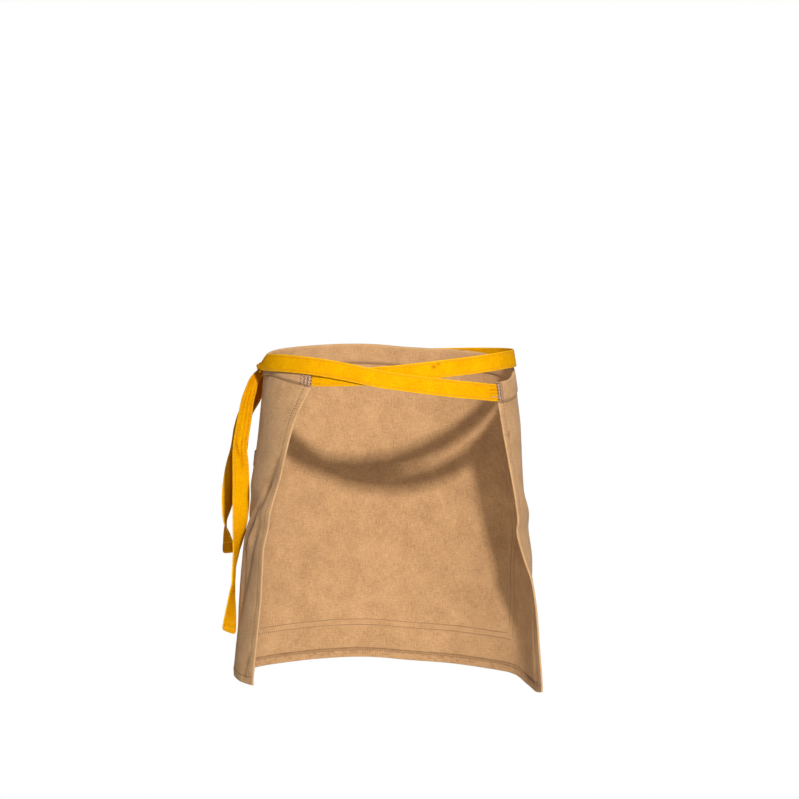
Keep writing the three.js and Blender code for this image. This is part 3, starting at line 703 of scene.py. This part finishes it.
class Tie:
    """A strap along its frames: where any place across and along it is, on either face."""

    def __init__(self, run, direction, end, seed, slant, creases):
        parts = [run_frames(run, direction), knot_frames(direction), end_frames(end)]
        points, outward, sizes = (np.concatenate(part) for part in zip(*parts))
        self.points, place = spline(points, TIE_SPACING)
        index = np.arange(len(points))
        blend = lambda values: np.stack([np.interp(place, index, v) for v in values.T], -1)
        first, last = len(parts[0][0]), len(parts[0][0]) + KNOT_STEPS
        self.knotted = smooth((place - first + 2) / 2) * smooth((last + 2 - place) / 2)
        axis = direction * unit(np.array([KNOT_SLANT, 1.0, 0.0]))
        self.along = unit(mix(unit(np.gradient(self.points, axis=0)), axis, self.knotted[:, None]))
        self.sideways = unit(np.cross(self.along, unit(blend(outward))))
        self.out = np.cross(self.sideways, self.along)
        self.width, self.thick, self.crease = blend(sizes).T
        steps = np.linalg.norm(np.diff(self.points, axis=0), axis=1)
        self.length = np.concatenate([[0], np.cumsum(steps)])
        self.gather = np.clip((TIE_WIDTH - self.width) / (TIE_WIDTH - KNOT_WIDTH), 0, 1)
        back = self.length[-1] - self.length
        self.width = self.width * np.sqrt(1 - 0.25 * (1 - np.minimum(back / 4, 1)) ** 2)
        self.seed = seed
        self.slant = slant
        self.creases = creases

    def creased(self, across):
        """How far the creases along the strap stand up from its inner face."""
        height = np.zeros((len(self.length), np.shape(across)[-1]))
        back = (self.length[-1] - self.length)[:, None]
        for back_0, across_0, back_1, across_1, high, width in zip(*self.creases.values()):
            share = np.clip((back_0 - back) / (back_0 - back_1), 0, 1)
            past = np.maximum(0, np.maximum(back - back_0, back_1 - back)) / 8
            uneven = high * (0.8 + 0.8 * ripple(back / 11, 9 * across_0))
            height += uneven * np.exp(-(((across - mix(across_0, across_1, share)) / width) ** 2) - past**2)
        return height

    def middle(self, across):
        """Height of the strap's middle over its frame: crease, gathered pleats and small waves."""
        along = self.length[:, None]
        height = self.crease[:, None] * (1 - np.abs(across) ** 1.3)
        pleat = np.sin(np.pi * 2.6 * across + 1.3 * ripple(along / 16, self.seed))
        height = height + 0.62 * self.gather[:, None] ** 1.2 * pleat
        flat = 1 - self.gather[:, None]
        height = height + flat * 0.22 * ripple(along / 13, across * 1.2 + self.seed) + self.creased(across)
        return height + flat * 0.10 * ripple(along / 4.2, np.sign(across) * 3 + self.seed) * across**4

    def place(self, across, face):
        """Points at shares across the strap, on the outer face (1), the inner face (-1) or between them."""
        across = np.asarray(across, float)[None, :]
        lateral = across * self.width[:, None] / 2
        height = self.middle(across) + face * self.thick[:, None] / 2
        tip = smooth(1 - (self.length[-1] - self.length) / TIE_END_REACH)[:, None]
        forward = tip * (self.slant * across - TIE_END_ROUND * across**4)
        return (self.points[:, None] + self.sideways[:, None] * lateral[..., None]
                + self.out[:, None] * height[..., None] + self.along[:, None] * forward[..., None])


def make_tie(name, tie, material, stain, shade):
    """A strap of folded cloth with rounded edges."""
    edge_stops = np.array([0.87, 0.95, 0.985, 1])
    across = np.concatenate([-edge_stops[::-1], np.linspace(-0.78, 0.78, 17), edge_stops])
    inside = (1 - np.abs(across)) * TIE_WIDTH / 2
    flat = np.sqrt(np.maximum(0.03, 1 - (1 - np.minimum(inside / (TIE_THICK / 2), 1)) ** 2))
    flat = flat - 0.3 * np.exp(-(((inside - TIE_STITCH) / 0.6) ** 2))
    domed = np.sqrt(1 - 0.96 * across**2)
    full = mix(flat, domed, tie.gather[:, None])
    front = full + 0.8 * tie.knotted[:, None] * domed
    rings = np.concatenate([tie.place(across, front), tie.place(across[::-1], -full[:, ::-1])], axis=1)
    both = np.concatenate([across, across[::-1]])
    along = np.repeat(tie.length[:, None], len(both), 1)
    side = np.concatenate([np.zeros(len(across)), np.full(len(across), 30.0)])
    cut = np.stack([both * TIE_WIDTH / 2 + 0 * along, along, side + 0 * along], -1).reshape(-1, 3)
    ends = np.minimum(along, tie.length[-1] - along)
    edge = np.minimum((1 - np.abs(both)) * TIE_WIDTH / 2 + 0 * along, ends)
    # Pale edges: partly worn cloth, partly painted highlight
    wear_and_highlight = np.exp(-edge / 0.9) * (0.7 + 0.5 * ripple(along / 5, both * 2))
    # Painted shade: darker along the stitch rows, along the creases, where the strap is gathered into the
    # knot, and wherever the shade function given for this tie puts painted shadow
    seams = 0.45 * np.exp(-((((1 - np.abs(both)) * TIE_WIDTH / 2 - TIE_STITCH) / 0.8) ** 2)) + 0 * along
    painted_shade = seams + 0.6 * tie.creased(both) + 0.45 * tie.gather[:, None] + shade(rings)
    fields = {"cloth": cut, "wear_and_highlight": np.clip(wear_and_highlight, 0, 1).ravel(), "stain": stain(rings).ravel(),
              "painted_shade": np.clip(painted_shade, 0, 1).ravel()}
    return make_mesh(name, rings.reshape(-1, 3), ring_faces(*rings.shape[:2]), material, fields)


# One stitch with its needle holes: shares of its length along, and of the thread's radius out and up, and
# where the needle holes' painted shade goes
STITCH_RINGS = table(
    "along out up hole",
    (-0.74, 1.3, -0.8, 1),
    (-0.42, 1.6, -1.0, 1),
    (-0.3, 0.95, 0, 0),
    (0.3, 0.95, 0, 0),
    (0.42, 1.6, -1.0, 1),
    (0.74, 1.3, -0.8, 1),
)
STITCH_RING_COUNT = len(STITCH_RINGS["along"])
STITCH_SIDES = 6


def make_stitches(name, rows, material, radius=THREAD):
    """Raised stitches, half sunk into the cloth, from rows of start points, end points and normals."""
    starts, ends, normals = (np.concatenate(parts) for parts in zip(*rows))
    along = unit(ends - starts)
    length = np.linalg.norm(ends - starts, axis=1)
    side = unit(np.cross(normals, along))
    up = np.cross(along, side)
    turn = np.arange(STITCH_SIDES) * 2 * np.pi / STITCH_SIDES
    shapes = []
    for reach, full, lift in zip(STITCH_RINGS["along"], STITCH_RINGS["out"], STITCH_RINGS["up"]):
        centre = (starts + ends) / 2 + along * (reach * length)[:, None] + up * lift * radius
        ring = side[:, None] * np.cos(turn)[:, None] + up[:, None] * np.sin(turn)[:, None]
        shapes.append(centre[:, None] + ring * full * radius)
    points = np.stack(shapes, 1)
    template = ring_faces(STITCH_RING_COUNT, STITCH_SIDES)
    size = STITCH_RING_COUNT * STITCH_SIDES
    faces = [[corner + size * i for corner in face] for i in range(len(starts)) for face in template]
    flat = np.zeros((len(starts), STITCH_RING_COUNT, STITCH_SIDES, 3))
    flat[..., 0] = np.arange(len(starts))[:, None, None] * 1.7
    flat[..., 1] = STITCH_RINGS["along"][None, :, None] * STITCH_LENGTH
    flat[..., 2] = turn
    # Painted shade on the rings that sit in the needle holes
    holes = np.tile(np.repeat(STITCH_RINGS["hole"], STITCH_SIDES), len(starts))
    fields = {"cloth": flat.reshape(-1, 3), "painted_shade": holes}
    return make_mesh(name, points.reshape(-1, 3), faces, material, fields)


def stitch_row(points, normals):
    """Starts, ends and normals of even stitches along a line of points."""
    reach = np.concatenate([[0], np.cumsum(np.linalg.norm(np.diff(points, axis=0), axis=1))])
    first = np.arange(0.5, reach[-1] - STITCH_LENGTH, STITCH_PITCH)
    pick = lambda values, at: np.stack([np.interp(at, reach, v) for v in values.T], -1)
    middle, last = first + STITCH_LENGTH / 2, first + STITCH_LENGTH
    return pick(points, first), pick(points, last), unit(pick(normals, middle))


def cloth_line(across, down, out):
    """A stitch row along a line on the cloth, raised by a distance from the cloth's middle on either side."""
    points, normals = cloth.at(across, down)
    out = np.broadcast_to(np.asarray(out, float), np.shape(points)[:1])
    return stitch_row(points + normals * out[:, None], normals * np.sign(out)[:, None])


def panel_rows():
    down = np.arange(2.0, PANEL_DROP - HEM_STITCH, 1.0)
    across = np.arange(HEM_STITCH - PANEL_LEFT, PANEL_RIGHT - HEM_STITCH, 1.0)
    outside, inside = CANVAS / 2 - 0.2, -CANVAS / 2 - HEM_EXTRA + 0.1
    for out in (outside, inside):
        yield cloth_line(np.full_like(down, HEM_STITCH - PANEL_LEFT), down, out)
        yield cloth_line(np.full_like(down, PANEL_RIGHT - HEM_STITCH), down, out)
        yield cloth_line(across, np.full_like(across, PANEL_DROP - HEM_STITCH), out)


def pocket_rows():
    for out in (POCKET_OFF + POCKET_CLOTH - 0.2, -CANVAS / 2 + 0.05):
        for row in POCKET_ROWS:
            down = np.arange(POCKET_TOP + 1.0, POCKET_BOTTOM - row, 1.0)
            across = np.arange(POCKET_LEFT + row, POCKET_RIGHT - row, 1.0)
            raised = out + np.where((down < POCKET_TOP + POCKET_HEM) & (out > 0), 0.9 * POCKET_CLOTH, 0)
            yield cloth_line(np.full_like(down, POCKET_LEFT + row), down, raised)
            yield cloth_line(np.full_like(down, POCKET_RIGHT - row), down, raised)
            yield cloth_line(across, np.full_like(across, POCKET_BOTTOM - row), out)


def band_rows():
    across = np.arange(3.0 - PANEL_LEFT, PANEL_RIGHT - 3.0, 1.0)
    for out in (BAND_STITCH_OUT, -BAND_STITCH_OUT):
        yield cloth_line(across, np.full_like(across, -BAND_STITCH), out)


def band_end_zigzag():
    """Columns of close zigzag stitches that fix the ties in the ends of the waistband, on both faces."""
    down = np.linspace(-BAND_HEIGHT + 2, -1.5, 12)
    for end, inward, columns in ((-PANEL_LEFT, 1, LEFT_TACKS), (PANEL_RIGHT, -1, RIGHT_TACKS)):
        for column in columns:
            swing = np.where(np.arange(len(down)) % 2, TACK_SWING, -TACK_SWING)
            across = end + inward * (column + swing * (1 + 0.3 * ripple(down / 2, column)))
            for out in (TACK_OUT, -TACK_OUT):
                points, normals = cloth.at(across, down)
                points = points + normals * out
                yield points[:-1], points[1:], (normals * np.sign(out))[:-1]


def loose_thread(tie):
    """A thread end that hangs out of the stitching at the band's end and lies along the tie."""
    free = (tie.length > TIE_SEWN_IN - 2) & (tie.length < TIE_SEWN_IN + 11)
    points = tie.place([-0.5], 1.3)[free, 0]
    return points[:-1], points[1:], tie.out[free][:-1]


def tie_rows(tie):
    visible = slice(8, -3)
    for face in (1, -1):
        for across in (-TIE_STITCH_SHARE, TIE_STITCH_SHARE):
            line = tie.place([across], 0.72 * face)[visible, 0]
            yield stitch_row(line, tie.out[visible] * face)


def tie_end_rows(tie, backs):
    """Rows across the hanging end at distances back from its tip, on both faces."""
    across = np.linspace(-TIE_STITCH_SHARE, TIE_STITCH_SHARE, 14)
    for back in backs:
        ring = int(np.searchsorted(tie.length, tie.length[-1] - back))
        for face in (1, -1):
            line = tie.place(across, 0.95 * face)[ring]
            yield stitch_row(line, np.repeat(tie.out[ring][None] * face, len(across), 0))


def srgb(red, green, blue):
    """A colour given as screen values from 0 to 255, as linear light."""
    shares = [value / 255 for value in (red, green, blue)]
    return (*[((v + 0.055) / 1.055) ** 2.4 if v > 10 / 255 else v / 12.92 for v in shares], 1)


class Look:
    """A material, with short ways to add and join its nodes."""

    def __init__(self, name):
        self.material = bpy.data.materials.new(name)
        self.material.use_nodes = True
        self.tree = self.material.node_tree
        self.shader = self.tree.nodes["Principled BSDF"].inputs

    def node(self, kind, **settings):
        made = self.tree.nodes.new(kind)
        for key, value in settings.items():
            setattr(made, key, value)
        return made

    def join(self, value, socket):
        """Sets a socket to a number or a colour, or links another node's output to it."""
        if isinstance(value, (int, float, tuple)):
            socket.default_value = value
        else:
            self.tree.links.new(value, socket)

    def maths(self, operation, first, second):
        made = self.node("ShaderNodeMath", operation=operation)
        self.join(first, made.inputs[0])
        self.join(second, made.inputs[1])
        return made.outputs[0]

    def weighted(self, *parts):
        """The sum of node outputs, each given with its weight."""
        total = 0.0
        for part, weight in parts:
            total = self.maths("ADD", total, self.maths("MULTIPLY", part, weight))
        return total

    def blend(self, share, first, second):
        made = self.node("ShaderNodeMix", data_type="RGBA")
        for name, value in (("Factor", share), ("A", first), ("B", second)):
            self.join(value, made.inputs[name])
        return made.outputs["Result"]

    def field(self, name, output="Fac"):
        """A value kept at every point of the mesh."""
        return self.node("ShaderNodeAttribute", attribute_name=name).outputs[output]

    def texture(self, kind, vector, turn=0.0, stretch=(1, 1, 1), **values):
        mapping = self.node("ShaderNodeMapping")
        mapping.inputs["Rotation"].default_value = (0, 0, math.radians(turn))
        mapping.inputs["Scale"].default_value = stretch
        self.join(vector, mapping.inputs["Vector"])
        made = self.node(kind)
        for name, value in values.items():
            made.inputs[name.replace("_", " ")].default_value = value
        self.join(mapping.outputs[0], made.inputs["Vector"])
        return made.outputs["Fac"]

    def noise(self, vector, scale, detail=3.0, stretch=(1, 1, 1)):
        return self.texture("ShaderNodeTexNoise", vector, stretch=stretch, Scale=scale, Detail=detail)

    def ribs(self, vector, period, turn, distortion):
        """Even ribs, a little wavy. Bands along X are the wave texture's own setting."""
        return self.texture("ShaderNodeTexWave", vector, turn, Scale=math.pi / 10 / period,
                            Distortion=distortion, Detail=2, Detail_Scale=2.5)

    def bump(self, height, strength, distance):
        made = self.node("ShaderNodeBump")
        made.inputs["Strength"].default_value = strength
        made.inputs["Distance"].default_value = distance * MM
        self.join(height, made.inputs["Height"])
        self.join(made.outputs[0], self.shader["Normal"])


def twill(name, base, deep, wear_and_highlight, stain, painted_shade, gloss, sheen):
    """Cotton twill: slanting ribs, uneven yarns, soft mottling, painted shade, pale edges that are partly
    worn and partly painted highlight, and a few specks.
    """
    look = Look(name)
    place = look.field("cloth", "Vector")
    ribs = look.ribs(place, 0.95, 58, 0.5)
    weft = look.noise(place, 1.0, 2.0, (0.10, 1.5, 1))
    warp = look.noise(place, 1.0, 2.0, (1.5, 0.10, 1))
    mottle = look.noise(place, 0.045, 4.0)
    fuzz = look.noise(place, 2.6, 2.0)
    slub = look.noise(place, 0.85, 2.0, (1, 0.6, 1))
    yarns = look.weighted((weft, 0.5), (warp, 0.5))
    shade = look.weighted((ribs, 0.25), (yarns, 1.5), (mottle, 0.6), (slub, 0.8))
    colour = look.blend(look.maths("SUBTRACT", shade, 1.05), deep, base)
    # Painted shade where the mesh's shade field asks for it; then pale edges, partly worn and partly painted
    # highlight
    colour = look.blend(look.field("painted_shade"), colour, painted_shade)
    wear_and_highlight_share = look.maths("MULTIPLY", look.field("wear_and_highlight"), look.maths("ADD", fuzz, 0.25))
    colour = look.blend(wear_and_highlight_share, colour, wear_and_highlight)
    colour = look.blend(look.field("stain"), colour, stain)
    look.join(colour, look.shader["Base Color"])
    rough = look.node("ShaderNodeMapRange")
    rough.inputs["To Min"].default_value = 0.80
    rough.inputs["To Max"].default_value = 0.97
    look.join(yarns, rough.inputs["Value"])
    look.join(rough.outputs[0], look.shader["Roughness"])
    look.bump(look.weighted((ribs, 0.6), (yarns, 0.7), (fuzz, 0.35)), 0.5, 0.22)
    look.join(gloss, look.shader["Specular IOR Level"])
    look.join(sheen, look.shader["Sheen Weight"])
    look.join(0.55, look.shader["Sheen Roughness"])
    return look.material


def thread(name, base, deep, hole):
    """Sewing thread with a twisted lay, and painted shade for the needle holes at the ends of each stitch."""
    look = Look(name)
    place = look.field("cloth", "Vector")
    lay = look.ribs(place, 0.5, 90, 1.5)
    tone = look.noise(place, 0.8)
    colour = look.blend(look.maths("MULTIPLY", lay, tone), base, deep)
    look.join(look.blend(look.field("painted_shade"), colour, hole), look.shader["Base Color"])
    look.bump(lay, 0.4, 0.1)
    look.join(0.7, look.shader["Roughness"])
    look.join(0.3, look.shader["Specular IOR Level"])
    return look.material


# In both twills the colour given after the stain is painted shade, and the pale colour given after the deep
# one is partly worn cloth and partly painted highlight
CANVAS_LOOK = twill("tan_twill", base=srgb(200, 159, 114), deep=srgb(138, 101, 66), wear_and_highlight=srgb(192, 156, 113),
                    stain=srgb(70, 45, 25), painted_shade=srgb(92, 60, 36), gloss=0.12, sheen=0.05)
TIE_LOOK = twill("yellow_twill", base=srgb(229, 169, 4), deep=srgb(178, 112, 0), wear_and_highlight=srgb(238, 186, 28),
                 stain=srgb(150, 80, 10), painted_shade=srgb(168, 84, 0), gloss=0.02, sheen=0.0)
# The last colour of each thread is the painted shade of its needle holes
TAN_THREAD = thread("tan_thread", srgb(204, 164, 120), srgb(160, 120, 82), srgb(40, 24, 13))
BAND_THREAD = thread("band_thread", srgb(204, 164, 120), srgb(160, 120, 82), srgb(92, 62, 40))
PALE_THREAD = thread("pale_thread", srgb(214, 182, 164), srgb(160, 126, 110), srgb(70, 44, 32))
BRIGHT_THREAD = thread("bright_thread", srgb(255, 226, 70), srgb(236, 192, 40), srgb(176, 104, 0))
YELLOW_THREAD = thread("yellow_thread", srgb(245, 196, 40), srgb(212, 146, 0), srgb(176, 104, 0))


def no_stain(points):
    return np.zeros(points.shape[:2])


def short_end_shade(points):
    """Painted shadow: the short hanging end is darkened where the long end keeps the light off it."""
    x, z = points[..., 0], points[..., 2]
    beside = smooth((x + 188) / 6) * 0.85
    below = smooth((-170 - z) / 15) * 0.6
    return np.maximum(beside, below) * smooth((-140 - x) / 6) * smooth(-z / 10)


def back_specks(points):
    """Two small brownish specks on the tie behind the back."""
    share = np.zeros(points.shape[:2])
    for x, z, size in BACK_SPECKS:
        gone = ((points[..., 0] - x) ** 2 + (points[..., 2] - z) ** 2) / size**2
        share += SPECK_DEPTH * np.exp(-gone) * (points[..., 1] < 0)
    return np.clip(share, 0, 1)


left_tie = Tie(LEFT_TIE_RUN, -1, LEFT_TIE_END, 4.5, LEFT_END_SLANT, LEFT_TIE_CREASES)
right_tie = Tie(RIGHT_TIE_RUN, 1, RIGHT_TIE_END, 21.5, RIGHT_END_SLANT, RIGHT_TIE_CREASES)

panel = make_panel(CANVAS_LOOK)
pocket = make_pocket(CANVAS_LOOK)
band = make_band(CANVAS_LOOK)
tie_left = make_tie("apron_tie_left", left_tie, TIE_LOOK, back_specks, no_stain)
tie_right = make_tie("apron_tie_right", right_tie, TIE_LOOK, no_stain, short_end_shade)

panel_stitches = make_stitches("panel_stitches", panel_rows(), TAN_THREAD)
pocket_stitches = make_stitches("pocket_stitches", pocket_rows(), TAN_THREAD)
band_stitches = make_stitches("band_stitches", band_rows(), BAND_THREAD)
tack_rows = [*band_end_zigzag(), loose_thread(right_tie)]
band_tacks = make_stitches("band_tacks", tack_rows, PALE_THREAD)
tie_left_stitches = make_stitches("tie_left_stitches", tie_rows(left_tie), YELLOW_THREAD, TIE_THREAD)
tie_right_stitches = make_stitches("tie_right_stitches", tie_rows(right_tie), YELLOW_THREAD, TIE_THREAD)
left_end_rows = tie_end_rows(left_tie, LEFT_END_ROWS)
right_end_rows = tie_end_rows(right_tie, RIGHT_END_ROWS)
left_end_stitches = make_stitches("left_end_stitches", left_end_rows, BRIGHT_THREAD, TIE_END_THREAD)
right_end_stitches = make_stitches("right_end_stitches", right_end_rows, BRIGHT_THREAD, TIE_END_THREAD)

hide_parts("panel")
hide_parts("pocket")
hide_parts("waistband")
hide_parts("tie_left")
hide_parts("tie_right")

# Camera: level, behind the wearer, at the height of the hips
FOCAL_PIXELS = 3097
IMAGE_SIDE = 799
camera = bpy.data.objects.new("camera", bpy.data.cameras.new("camera"))
camera.data.sensor_width = 36
camera.data.lens = camera.data.sensor_width * FOCAL_PIXELS / IMAGE_SIDE
camera.data.clip_end = 50
camera.location = (0.0096, -3.5, -0.031)
camera.rotation_euler = (math.pi / 2, 0, 0)
bpy.context.scene.collection.objects.link(camera)
bpy.context.scene.camera = camera


def area_light(name, place, target, size, power, colour):
    lamp = bpy.data.lights.new(name, "AREA")
    lamp.size = size
    lamp.energy = power
    lamp.color = colour
    light = bpy.data.objects.new(name, lamp)
    light.location = place
    light.rotation_euler = (Vector(target) - Vector(place)).to_track_quat("-Z", "Y").to_euler()
    bpy.context.scene.collection.objects.link(light)


HIPS = (0, 0, -0.15)
area_light("key", (0.62, -2.75, 1.35), HIPS, 0.2, 130, (1.0, 0.98, 0.95))
area_light("fill", (-1.6, -2.4, 0.9), HIPS, 1.2, 6, (1.0, 0.99, 0.97))
area_light("front", (0.6, 3.0, 1.6), HIPS, 2.0, 45, (1.0, 0.99, 0.97))

world = bpy.data.worlds.new("studio")
world.use_nodes = True
world_nodes, world_links = world.node_tree.nodes, world.node_tree.links
background = world_nodes["Background"]
background.inputs["Color"].default_value = (1, 1, 1, 1)
seen = world_nodes.new("ShaderNodeLightPath").outputs["Is Camera Ray"]
brightness = world_nodes.new("ShaderNodeMapRange")
brightness.inputs["To Min"].default_value = 0.31
brightness.inputs["To Max"].default_value = 1.0
world_links.new(seen, brightness.inputs["Value"])
world_links.new(brightness.outputs[0], background.inputs["Strength"])
bpy.context.scene.world = world
bpy.context.scene.view_settings.view_transform = "Standard"

FLOOR_RADIUS = 2.4
FLOOR_HEIGHT = -0.95
FLOOR_SIDES = 96
floor_mesh = bpy.data.meshes.new("floor")
turns = np.arange(FLOOR_SIDES) * 2 * np.pi / FLOOR_SIDES
rim = [(FLOOR_RADIUS * math.cos(t), FLOOR_RADIUS * math.sin(t), FLOOR_HEIGHT) for t in turns]
floor_mesh.from_pydata(rim, [], [list(range(FLOOR_SIDES))])
floor = bpy.data.objects.new("floor", floor_mesh)
floor_look = Look("floor")
floor_look.join((0.82, 0.82, 0.83, 1), floor_look.shader["Base Color"])
floor_look.join(0.85, floor_look.shader["Roughness"])
floor_mesh.materials.append(floor_look.material)
bpy.context.scene.collection.objects.link(floor)
